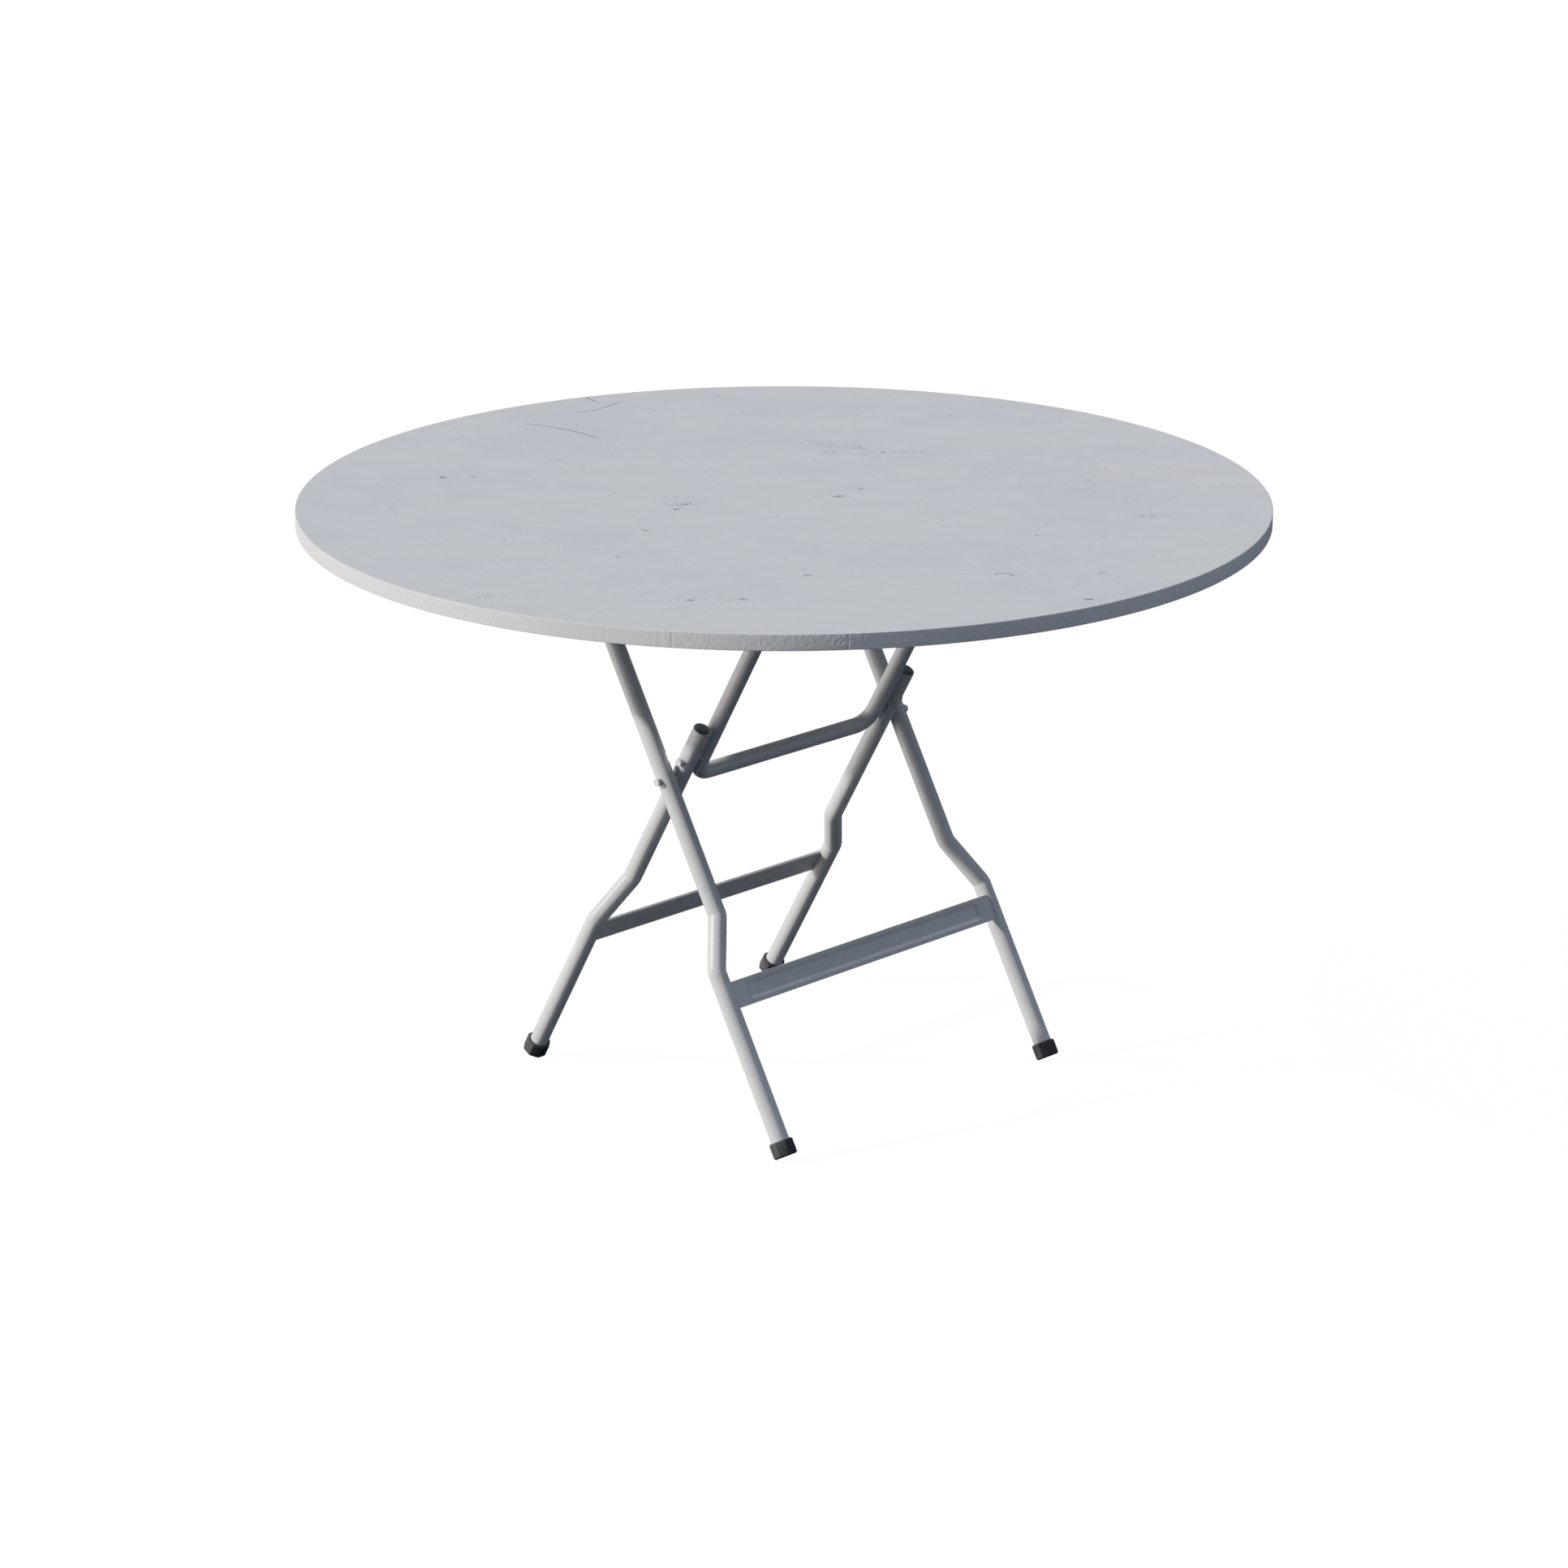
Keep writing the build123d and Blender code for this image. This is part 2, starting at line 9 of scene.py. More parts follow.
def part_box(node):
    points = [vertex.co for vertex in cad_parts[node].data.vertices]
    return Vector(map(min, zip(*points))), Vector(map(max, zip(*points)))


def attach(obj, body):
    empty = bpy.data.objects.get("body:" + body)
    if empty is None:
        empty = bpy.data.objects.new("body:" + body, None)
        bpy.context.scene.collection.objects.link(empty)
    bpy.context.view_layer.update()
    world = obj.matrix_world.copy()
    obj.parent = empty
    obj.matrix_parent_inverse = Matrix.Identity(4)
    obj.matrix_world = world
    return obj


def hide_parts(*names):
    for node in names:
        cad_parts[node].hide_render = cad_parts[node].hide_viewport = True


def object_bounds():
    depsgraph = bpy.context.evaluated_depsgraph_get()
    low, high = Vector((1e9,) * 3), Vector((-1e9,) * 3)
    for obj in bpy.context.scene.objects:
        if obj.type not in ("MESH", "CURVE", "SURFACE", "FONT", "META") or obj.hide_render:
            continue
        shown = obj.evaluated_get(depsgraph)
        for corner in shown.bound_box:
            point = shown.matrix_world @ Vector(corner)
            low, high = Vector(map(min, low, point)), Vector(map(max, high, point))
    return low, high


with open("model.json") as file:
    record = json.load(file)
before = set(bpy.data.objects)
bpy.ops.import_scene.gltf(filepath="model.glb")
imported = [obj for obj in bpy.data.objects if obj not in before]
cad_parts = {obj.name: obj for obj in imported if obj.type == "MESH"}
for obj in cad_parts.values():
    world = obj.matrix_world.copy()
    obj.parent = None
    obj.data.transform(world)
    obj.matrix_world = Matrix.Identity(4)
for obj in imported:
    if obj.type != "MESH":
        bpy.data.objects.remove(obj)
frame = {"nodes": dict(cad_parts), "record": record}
cad_low, cad_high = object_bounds()
nodes = frame["nodes"]

# Lengths are metres. Headings are degrees from +X towards +Y, heights are degrees above the horizon.


def heading(degrees, elevation=0.0):
    """Unit vector that points to a heading and a height."""
    turn, lift = math.radians(degrees), math.radians(elevation)
    return Vector((math.cos(turn) * math.cos(lift), math.sin(turn) * math.cos(lift), math.sin(lift)))


# ---------------------------------------------------------------- camera
CAMERA_HEADING = -44.89
CAMERA_HEIGHT = 17.98
CAMERA_DISTANCE = 6.08
CAMERA_TARGET = Vector((0.0, 0.0, 0.372))
CAMERA_LENS = 111.2
SENSOR_WIDTH = 36.0
CLIP_END = 200.0

toward_camera = heading(CAMERA_HEADING, CAMERA_HEIGHT)
camera = bpy.data.objects.new("camera", bpy.data.cameras.new("camera"))
bpy.context.scene.collection.objects.link(camera)
camera.data.lens = CAMERA_LENS
camera.data.sensor_width = SENSOR_WIDTH
camera.data.clip_end = CLIP_END
camera.location = CAMERA_TARGET + toward_camera * CAMERA_DISTANCE
camera.rotation_euler = (-toward_camera).to_track_quat("-Z", "Y").to_euler()
bpy.context.scene.camera = camera

# ---------------------------------------------------------------- display
# Scene light that shows as pure white.
WHITE = 2.2
# Highlights roll off softly, as on film: scene light against display light.
FILM_CURVE = [(0.30, 0.295), (0.43, 0.395), (0.59, 0.475), (0.75, 0.535), (0.95, 0.60), (1.15, 0.65)]
COMBINED_CURVE = 3

display = bpy.context.scene.view_settings
display.view_transform = "Standard"
display.look = "None"
display.use_curve_mapping = True
film = display.curve_mapping
film.white_level = (WHITE, WHITE, WHITE)
for light, shown in FILM_CURVE:
    film.curves[COMBINED_CURVE].points.new(light / WHITE, shown)
film.update()


# ---------------------------------------------------------------- shader helper
class Shader:
    """A node tree under construction; most methods return an output socket."""

    def __init__(self, tree):
        self.tree = tree
        tree.nodes.clear()

    def add(self, kind, inputs=(), **settings):
        """A new node with its settings made and its inputs filled."""
        node = self.tree.nodes.new(kind)
        for key, value in settings.items():
            setattr(node, key, value)
        for key, value in dict(inputs).items():
            self.put(node.inputs[key], value)
        return node

    def put(self, target, value):
        """Link a socket to an input, or set the input to a plain value."""
        if isinstance(value, bpy.types.NodeSocket):
            self.tree.links.new(value, target)
        else:
            target.default_value = value

    def placed(self, where, size, turn=0.0, centre=(0, 0, 0)):
        """Coordinates from a centre, along axes turned about Z by degrees, in units of size."""
        return self.add(
            "ShaderNodeMapping",
            {"Vector": where, "Location": centre, "Scale": size,
             "Rotation": (0, 0, math.radians(turn))},
            vector_type="TEXTURE",
        ).outputs[0]

    def coords(self, squeeze=(1, 1, 1), turn=0.0):
        """Object coordinates; a squeeze above 1 packs the pattern tighter along that axis."""
        place = self.add("ShaderNodeTexCoord").outputs["Object"]
        return self.placed(place, [1 / share for share in squeeze], turn)

    def noise(self, where, scale, detail=2.0, roughness=0.5, distortion=0.0):
        return self.add(
            "ShaderNodeTexNoise",
            {"Vector": where, "Scale": scale, "Detail": detail,
             "Roughness": roughness, "Distortion": distortion},
        ).outputs["Fac"]

    def cells(self, where, scale):
        """Distance to the middle of the nearest cell."""
        return self.add("ShaderNodeTexVoronoi", {"Vector": where, "Scale": scale}).outputs["Distance"]

    def span(self, value, low, high, to_low=0.0, to_high=1.0):
        """A smooth step from to_low to to_high as the value goes from low to high."""
        return self.add(
            "ShaderNodeMapRange",
            {0: value, 1: low, 2: high, 3: to_low, 4: to_high},
            interpolation_type="SMOOTHSTEP",
        ).outputs[0]

    def calc(self, operation, first, second=0.0):
        return self.add("ShaderNodeMath", {0: first, 1: second}, operation=operation).outputs[0]

    def blend(self, factor, first, second):
        """The first colour where the factor is 0 and the second where it is 1."""
        node = self.add("ShaderNodeMix", data_type="RGBA")
        self.put(node.inputs["Factor"], factor)
        self.put(node.inputs["A"], first)
        self.put(node.inputs["B"], second)
        return node.outputs["Result"]

    def layer(self, under, colour, mask, low, high, amount=1.0):
        """Lay a colour over another where the mask rises from low to high, up to an amount."""
        return self.blend(self.span(mask, low, high, 0.0, amount), under, colour)

    def bump(self, height, strength, distance):
        inputs = {"Height": height, "Strength": strength, "Distance": distance}
        return self.add("ShaderNodeBump", inputs).outputs[0]


def grey(value, warm=0.0):
    """A grey; warm shifts it from blue to red."""
    return (value * (1 + warm), value, value * (1 - warm), 1.0)


def surface(name, recipe):
    """A principled material; the recipe gets the shader helper and returns what fills the sockets."""
    material = bpy.data.materials.new(name)
    material.use_nodes = True
    shader = Shader(material.node_tree)
    principled = shader.add("ShaderNodeBsdfPrincipled")
    shader.add("ShaderNodeOutputMaterial", {"Surface": principled.outputs[0]})
    for key, value in recipe(shader).items():
        shader.put(principled.inputs[key], value)
    return material


# ---------------------------------------------------------------- world
# A studio with one wall that glows, a cool wall across from it, a dim rest and a pale blue ceiling.
GLOW_HEADING = 219.0
COOL_HEADING = 25.0
DIM_WALL = (0.03, 0.06, 0.12, 1)
COOL_WALL = (0.44, 0.50, 0.59, 1)
GLOW_WALL = (2.95, 2.86, 2.75, 1)
CEILING = (0.49, 0.565, 0.70, 1)
DIM_GROUND = (0.02, 0.025, 0.033, 1)
GLOW_GROUND = (2.3, 2.22, 2.12, 1)

world = bpy.data.worlds.new("studio")
bpy.context.scene.world = world
world.use_nodes = True
sky = Shader(world.node_tree)
direction = sky.add("ShaderNodeTexCoord").outputs["Generated"]


def facing(degrees):
    """How far the sky direction points to a heading, -1 to 1."""
    return sky.add(
        "ShaderNodeVectorMath", {0: direction, 1: heading(degrees)}, operation="DOT_PRODUCT"
    ).outputs["Value"]


glow_side = facing(GLOW_HEADING)
cool_side = facing(COOL_HEADING)
height = sky.add("ShaderNodeSeparateXYZ", {0: direction}).outputs["Z"]
walls = sky.layer(DIM_WALL, COOL_WALL, cool_side, 0.4, 0.97)
walls = sky.layer(walls, GLOW_WALL, glow_side, 0.6, 0.92)
upper = sky.layer(walls, CEILING, height, 0.3, 0.75)
ground = sky.layer(DIM_GROUND, GLOW_GROUND, glow_side, 0.55, 0.9)
room = sky.layer(ground, upper, height, -0.12, 0.02)
lit = sky.add("ShaderNodeBackground", {"Color": room, "Strength": 1.0}).outputs[0]
plain = sky.add("ShaderNodeBackground", {"Color": (1, 1, 1, 1), "Strength": WHITE}).outputs[0]
seen = sky.add("ShaderNodeLightPath").outputs["Is Camera Ray"]
mixed = sky.add("ShaderNodeMixShader", {0: seen, 1: lit, 2: plain}).outputs[0]
sky.add("ShaderNodeOutputWorld", {"Surface": mixed})

# ---------------------------------------------------------------- sun
SUN_HEADING = 233.3
SUN_HEIGHT = 29.7
SUN_SPREAD = 1.6
SUN_ENERGY = 4.9
SUN_TINT = (1.0, 0.985, 0.955)

sun = bpy.data.objects.new("sun", bpy.data.lights.new("sun", "SUN"))
bpy.context.scene.collection.objects.link(sun)
sun.data.energy = SUN_ENERGY
sun.data.color = SUN_TINT
sun.data.angle = math.radians(SUN_SPREAD)
sun.rotation_euler = heading(SUN_HEADING, SUN_HEIGHT).to_track_quat("Z", "Y").to_euler()

# ---------------------------------------------------------------- floor
# The floor glows nearly as white as the backdrop, and isn't seen from below.
FLOOR_REACH = 60.0
FLOOR_GLOW = 0.975
FLOOR_PAINT = (0.09, 0.09, 0.09, 1)

floor_mesh = bpy.data.meshes.new("floor")
floor_mesh.from_pydata(
    [(-FLOOR_REACH, -FLOOR_REACH, 0), (FLOOR_REACH, -FLOOR_REACH, 0),
     (FLOOR_REACH, FLOOR_REACH, 0), (-FLOOR_REACH, FLOOR_REACH, 0)],
    [], [(0, 1, 2, 3)],
)
floor = bpy.data.objects.new("floor", floor_mesh)
bpy.context.scene.collection.objects.link(floor)
floor.visible_diffuse = False
floor.visible_glossy = False
floor_paint = bpy.data.materials.new("floor_paint")
floor_paint.use_nodes = True
paint = Shader(floor_paint.node_tree)
glow = paint.add(
    "ShaderNodeEmission", {"Color": (1, 1, 1, 1), "Strength": WHITE * FLOOR_GLOW}
).outputs[0]
dull = paint.add("ShaderNodeBsdfDiffuse", {"Color": FLOOR_PAINT}).outputs[0]
front = paint.add("ShaderNodeAddShader", {0: glow, 1: dull}).outputs[0]
clear = paint.add("ShaderNodeBsdfTransparent").outputs[0]
behind = paint.add("ShaderNodeNewGeometry").outputs["Backfacing"]
both = paint.add("ShaderNodeMixShader", {0: behind, 1: front, 2: clear}).outputs[0]
paint.add("ShaderNodeOutputMaterial", {"Surface": both})
floor_mesh.materials.append(floor_paint)

# ---------------------------------------------------------------- marks on the laminate
# x, y and a scratch's radius are shares of the top's radius, other sizes are metres.
TOP_RADIUS = cad_high.x
# Fleck patches: x, y, half length, half width, turn in degrees.
FLECK_PATCHES = [
    (-0.25, 0.392, 0.075, 0.022, 25), (-0.2, 0.342, 0.022, 0.014, 45),
    (-0.1, 0.45, 0.06, 0.012, 40), (0.058, 0.083, 0.03, 0.01, 40),
    (-0.117, -0.183, 0.03, 0.016, 50), (0.408, -0.667, 0.03, 0.012, 45),
    (0.467, -0.608, 0.035, 0.014, 35), (0.133, -0.925, 0.026, 0.016, 30),
    (-0.558, -0.117, 0.022, 0.008, 45), (-0.475, -0.142, 0.03, 0.007, 50),
    (0.617, 0.425, 0.035, 0.014, 45), (0.517, 0.483, 0.012, 0.012, 0),
]
# Single chips: x, y, half length, half width, turn.
CHIPS = [
    (-0.625, -0.383, 0.006, 0.007, 30), (-0.583, -0.333, 0.006, 0.004, 45),
    (-0.017, -0.375, 0.009, 0.004, 20), (0.45, -0.383, 0.011, 0.004, 50),
    (0.95, -0.125, 0.011, 0.005, 50), (0.842, 0.033, 0.009, 0.003, 45),
    (0.275, 0.417, 0.005, 0.004, 45), (0.058, 0.167, 0.006, 0.004, 20),
    (0.092, -0.55, 0.006, 0.004, 40), (0.067, 0.092, 0.014, 0.005, 48),
    (-0.108, -0.175, 0.01, 0.005, 50), (-0.092, -0.217, 0.008, 0.006, 40),
    (0.417, -0.667, 0.01, 0.004, 48), (0.483, -0.592, 0.008, 0.004, 48),
]
# Fine curved scratches: the circle's x, y and radius, a point on it, and how far it shows from there.
SCRATCHES = [
    (-1.033, 0.258, 0.192, -0.845, 0.267, 0.05), (-0.717, -0.233, 0.317, -0.75, 0.083, 0.075),
    (-0.833, 0.7, 0.4, -0.967, 0.317, 0.06), (0.722, -0.118, 0.018, 0.712, -0.104, 0.016),
]
# Half widths between which a scratch fades out.
SCRATCH_FAINT = 0.0024
SCRATCH_FULL = 0.0006
# Rubbed patches, paler and warmer: x, y, half length, half width, turn.
RUBS = [
    (0.417, 0.792, 0.055, 0.02, 40), (0.575, 0.758, 0.075, 0.016, 42),
    (0.317, 0.692, 0.06, 0.018, 45), (0.5, 0.733, 0.05, 0.03, 30),
]
MARK_STRENGTH = 0.85


def on_top(x, y):
    """A point of the upper face, from shares of the top's radius."""
    return (x * TOP_RADIUS, y * TOP_RADIUS, cad_high.z)


def patches(shader, where, rows):
    """Soft elliptical spots: 1 in the middle of each and 0 outside them."""
    total = 0.0
    for x, y, long_half, wide_half, turn in rows:
        local = shader.placed(where, (long_half, wide_half, 1.0), turn, on_top(x, y))
        spot = shader.add(
            "ShaderNodeTexGradient", {"Vector": local}, gradient_type="SPHERICAL"
        ).outputs["Fac"]
        total = shader.calc("MAXIMUM", spot, total)
    return total


def scratches(shader, where, dark):
    """The mask of dark marks with the curved scratches added."""
    for x, y, radius, near_x, near_y, reach in SCRATCHES:
        far = shader.add(
            "ShaderNodeVectorMath", {0: where, 1: on_top(x, y)}, operation="DISTANCE"
        ).outputs["Value"]
        off = shader.calc("ABSOLUTE", shader.calc("SUBTRACT", far, radius * TOP_RADIUS))
        near = patches(shader, where, [(near_x, near_y, reach, reach, 0)])
        line = shader.calc(
            "MULTIPLY", shader.span(off, SCRATCH_FAINT, SCRATCH_FULL), shader.span(near, 0.0, 0.35)
        )
        dark = shader.calc("MAXIMUM", dark, line)
    return dark


# ---------------------------------------------------------------- finishes
LAMINATE = (0.523, 0.546, 0.598, 1)
LAMINATE_PALE = (0.591, 0.609, 0.645, 1)
LAMINATE_WASH = (0.617, 0.633, 0.664, 1)
LAMINATE_BLOTCH = (0.495, 0.510, 0.548, 1)
LAMINATE_GRAIN = (0.47, 0.48, 0.51, 1)
LAMINATE_STREAK = (0.48, 0.49, 0.52, 1)
LAMINATE_RUBBED = (0.74, 0.70, 0.67, 1)
LAMINATE_MARK = (0.105, 0.098, 0.088, 1)
STREAK_TURN = 45
BAND = (0.60, 0.60, 0.60, 1)
BAND_PALE = (0.65, 0.65, 0.645, 1)
BAND_DIRT = (0.36, 0.36, 0.37, 1)
BACKING = (0.40, 0.395, 0.385, 1)
BACKING_PALE = (0.46, 0.455, 0.445, 1)
BACKING_FIBRE = (0.31, 0.305, 0.295, 1)
CHIP_DARK = (0.34, 0.24, 0.14, 1)
CHIP_PALE = (0.58, 0.45, 0.29, 1)
WOOD = (0.40, 0.405, 0.415, 1)
WOOD_PALE = (0.50, 0.50, 0.505, 1)
WOOD_PORE = (0.24, 0.235, 0.23, 1)
WOOD_DIRT = (0.33, 0.32, 0.31, 1)
ZINC = (0.66, 0.66, 0.64, 1)
ZINC_DULL = (0.50, 0.50, 0.50, 1)
ZINC_SPANGLE = (0.78, 0.79, 0.80, 1)
RUBBER = (0.020, 0.020, 0.021, 1)
RUBBER_PALE = (0.040, 0.040, 0.041, 1)
RUBBER_SCUFF = (0.16, 0.145, 0.125, 1)
RUBBER_NICK = (0.40, 0.38, 0.35, 1)
# Painted light: a pale colour laid on upward-facing faces of a spreader's pressing, standing in for
# light from above.
LEDGE_PAINTED_LIGHT = (0.92, 0.91, 0.89, 1)
FRAME_SHADE = 0.60
PIN_SHADE = 0.74
LATCH_SHADE = 0.12
PALEST_SHADE = 0.85
FRAME_ROUGHNESS = 0.36
LATCH_ROUGHNESS = 0.40
BAR_ROUGHNESS = 0.52


def laminate(shader):
    """Pale laminate: clouded blue-grey tones, fine grain, rubbed patches, flecks, chips, scratches."""
    where = shader.coords()
    across = shader.coords(squeeze=(1.0, 1.7, 1.0), turn=STREAK_TURN)
    clouds = shader.noise(across, 4.5, 8, 0.68, 0.6)
    wash = shader.noise(across, 17, 8, 0.74, 0.8)
    blotch = shader.noise(across, 31, 8, 0.76, 0.4)
    grain = shader.noise(where, 260, 4, 0.7)
    streak = shader.noise(shader.coords(squeeze=(1, 5, 1), turn=STREAK_TURN), 34, 4, 0.7)
    tone = shader.layer(LAMINATE, LAMINATE_PALE, clouds, 0.36, 0.64)
    tone = shader.layer(tone, LAMINATE_WASH, wash, 0.46, 0.68, 0.7)
    tone = shader.layer(tone, LAMINATE_BLOTCH, blotch, 0.50, 0.70, 0.5)
    tone = shader.layer(tone, LAMINATE_GRAIN, grain, 0.35, 0.7, 0.26)
    tone = shader.layer(tone, LAMINATE_STREAK, streak, 0.62, 0.8, 0.35)
    ground_in = shader.span(shader.noise(across, 120, 5, 0.8), 0.45, 0.62)
    rub = shader.calc("MULTIPLY", patches(shader, where, RUBS), ground_in)
    tone = shader.layer(tone, LAMINATE_RUBBED, rub, 0.02, 0.3, 0.9)

    small = shader.noise(shader.coords(squeeze=(1, 1.6, 1), turn=STREAK_TURN), 250, 2, 0.5)
    flecked = shader.span(patches(shader, where, FLECK_PATCHES), 0.0, 0.55)
    fleck = shader.calc("MULTIPLY", flecked, shader.span(small, 0.575, 0.62))
    ragged = shader.span(shader.noise(where, 420, 3, 0.6), 0.2, 0.8, -0.35, 0.25)
    chip = shader.calc("ADD", patches(shader, where, CHIPS), ragged)
    scattered = shader.span(shader.noise(where, 95, 1, 0.4), 0.80, 0.82)
    dark = shader.calc("MAXIMUM", fleck, shader.span(chip, 0.25, 0.45))
    dark = shader.calc("MAXIMUM", dark, scattered)
    dark = scratches(shader, where, dark)
    ripple = shader.calc("MULTIPLY", shader.noise(where, 60, 5, 0.6), 0.4)
    return {
        "Base Color": shader.blend(shader.calc("MULTIPLY", dark, MARK_STRENGTH), tone, LAMINATE_MARK),
        "Roughness": shader.span(wash, 0.3, 0.7, 0.50, 0.64),
        "Specular IOR Level": 0.3,
        "Normal": shader.bump(shader.calc("SUBTRACT", ripple, dark), 0.25, 0.0004),
    }


def band_plastic(shader):
    """Moulded plastic of the rim: a pebbled skin, stronger in patches, with a little dirt."""
    where = shader.coords()
    pebble = shader.noise(where, 230, 1.5, 0.45, 0.3)
    coarse = shader.noise(where, 70, 3, 0.5)
    patch = shader.noise(where, 4.2, 2, 0.5)
    tone = shader.layer(BAND, BAND_PALE, patch, 0.35, 0.65)
    tone = shader.layer(tone, BAND_DIRT, shader.noise(where, 150, 5, 0.7), 0.66, 0.76, 0.25)
    skin = shader.calc("ADD", shader.span(pebble, 0.36, 0.64), shader.calc("MULTIPLY", coarse, 0.8))
    depth = shader.span(patch, 0.45, 0.62, 0.3, 1.0)
    return {
        "Base Color": tone,
        "Roughness": shader.span(pebble, 0.3, 0.7, 0.42, 0.6),
        "Specular IOR Level": 0.35,
        "Normal": shader.bump(shader.calc("MULTIPLY", skin, depth), 0.32, 0.0008),
    }


def board_backing(shader):
    """Dull backing sheet with fibres along one axis."""
    fibre = shader.noise(shader.coords(squeeze=(1, 7, 1)), 60, 4, 0.6)
    cloud = shader.noise(shader.coords(), 6, 5, 0.6)
    tone = shader.layer(BACKING, BACKING_PALE, cloud, 0.35, 0.65)
    tone = shader.layer(tone, BACKING_FIBRE, fibre, 0.55, 0.8, 0.4)
    return {"Base Color": tone, "Roughness": 0.78, "Normal": shader.bump(fibre, 0.3, 0.0005)}


def chipboard(shader):
    """Pressed wood chips."""
    chips = shader.cells(shader.coords(), 220)
    tone = shader.layer(CHIP_DARK, CHIP_PALE, chips, 0.1, 0.6)
    return {"Base Color": tone, "Roughness": 0.9, "Normal": shader.bump(chips, 0.5, 0.0006)}


def painted_wood(shader):
    """Grey paint over wood, with the grain along Y showing through."""
    grain = shader.noise(shader.coords(squeeze=(14, 1, 14)), 22, 6, 0.65, 0.4)
    pores = shader.noise(shader.coords(squeeze=(30, 1, 30)), 60, 3, 0.6)
    cloud = shader.noise(shader.coords(), 7, 4, 0.6)
    tone = shader.layer(WOOD, WOOD_PALE, grain, 0.35, 0.65)
    tone = shader.layer(tone, WOOD_PORE, pores, 0.62, 0.74, 0.45)
    tone = shader.layer(tone, WOOD_DIRT, cloud, 0.58, 0.75, 0.35)
    return {
        "Base Color": tone,
        "Roughness": shader.span(cloud, 0.3, 0.7, 0.5, 0.68),
        "Normal": shader.bump(shader.calc("SUBTRACT", grain, pores), 0.35, 0.0006),
    }


def powder_coat(shade, roughness=FRAME_ROUGHNESS):
    """A recipe for baked paint: clouded tone, grime from handling, smears, dark specks, pale flecks."""
    def recipe(shader):
        where = shader.coords()
        peel = shader.noise(where, 700, 2, 0.5)
        cloud = shader.noise(where, 9, 4, 0.55)
        handled = shader.noise(where, 42, 5, 0.7)
        smear = shader.noise(shader.coords(squeeze=(1, 1, 0.35)), 120, 6, 0.7)
        specks = shader.span(shader.noise(where, 210, 2, 0.5), 0.775, 0.80, 0, 0.7)
        worn = shader.noise(shader.coords(squeeze=(1, 1, 0.4)), 160, 3, 0.6)
        tone = shader.layer(grey(shade * 0.94), grey(shade * 1.04), cloud, 0.35, 0.65)
        tone = shader.layer(tone, grey(shade * 0.55, 0.03), handled, 0.60, 0.78, 0.32)
        tone = shader.layer(tone, grey(shade * 0.82), smear, 0.45, 0.72, 0.3)
        tone = shader.blend(specks, tone, grey(shade * 0.3))
        tone = shader.layer(tone, grey(min(shade * 1.2, PALEST_SHADE)), worn, 0.70, 0.76, 0.4)
        base_roughness = shader.span(cloud, 0.3, 0.7, roughness - 0.05, roughness + 0.08)
        fine = shader.calc("SUBTRACT", shader.calc("MULTIPLY", peel, 0.5), specks)
        return {
            "Base Color": tone,
            "Roughness": shader.calc("ADD", base_roughness, shader.span(handled, 0.5, 0.8, 0, 0.15)),
            "Specular IOR Level": 0.5,
            "Normal": shader.bump(fine, 0.28, 0.00025),
        }
    return recipe


def bar_paint(ledge_light_amount):
    """A recipe for the frame's paint on a flat bar: upright scuffs, and painted light on the pressing's
    upward-facing ledge.
    """
    def recipe(shader):
        sockets = powder_coat(FRAME_SHADE, BAR_ROUGHNESS)(shader)
        upright = shader.noise(shader.coords(squeeze=(1.0, 6.0, 1.0)), 45, 5, 0.75)
        rubbed = shader.noise(shader.coords(), 14, 3, 0.6)
        graze = shader.noise(shader.coords(squeeze=(1.0, 0.5, 1.0)), 60, 6, 0.75)
        scuff = shader.calc(
            "MULTIPLY", shader.span(upright, 0.60, 0.72), shader.span(rubbed, 0.5, 0.65, 0, 0.5)
        )
        tone = shader.blend(scuff, sockets["Base Color"], grey(FRAME_SHADE * 0.62, 0.05))
        tone = shader.layer(tone, grey(FRAME_SHADE * 1.25), graze, 0.60, 0.74, 0.35)
        # Painted highlight: faces that turn up are paled, as if lit from above, broken up a little by
        # the grazes.
        normal = shader.add("ShaderNodeNewGeometry").outputs["Normal"]
        facing_up = shader.add("ShaderNodeSeparateXYZ", {0: normal}).outputs["Z"]
        ledge = shader.span(facing_up, 0.56, 0.72, 0, ledge_light_amount)
        painted_ledge_light = shader.calc("MULTIPLY", ledge, shader.span(graze, 0.3, 0.6, 0.7, 1.0))
        sockets["Base Color"] = shader.blend(painted_ledge_light, tone, LEDGE_PAINTED_LIGHT)
        return sockets
    return recipe


def zinc(shader):
    """Zinc-plated steel with faint spangles and dull patches."""
    where = shader.coords()
    spangle = shader.cells(where, 240)
    dull_patch = shader.noise(where, 60, 5, 0.65)
    tone = shader.layer(ZINC, ZINC_DULL, dull_patch, 0.35, 0.7)
    tone = shader.layer(tone, ZINC_SPANGLE, spangle, 0.1, 0.6, 0.2)
    return {
        "Base Color": tone,
        "Metallic": 0.92,
        "Roughness": shader.span(dull_patch, 0.3, 0.7, 0.28, 0.5),
        "Normal": shader.bump(dull_patch, 0.15, 0.0003),
    }


def rubber(shader):
    """Black rubber with scuffs and pale nicks."""
    where = shader.coords()
    cloud = shader.noise(where, 55, 5, 0.65)
    scuff = shader.noise(shader.coords(squeeze=(1, 1, 0.5)), 150, 6, 0.75)
    nick = shader.noise(where, 240, 3, 0.6)
    tone = shader.layer(RUBBER, RUBBER_PALE, cloud, 0.35, 0.7)
    tone = shader.layer(tone, RUBBER_SCUFF, scuff, 0.56, 0.72, 0.6)
    tone = shader.layer(tone, RUBBER_NICK, nick, 0.70, 0.75, 0.7)
    return {
        "Base Color": tone,
        "Roughness": shader.span(scuff, 0.3, 0.7, 0.5, 0.75),
        "Specular IOR Level": 0.3,
        "Normal": shader.bump(shader.calc("ADD", scuff, nick), 0.35, 0.0005),
    }


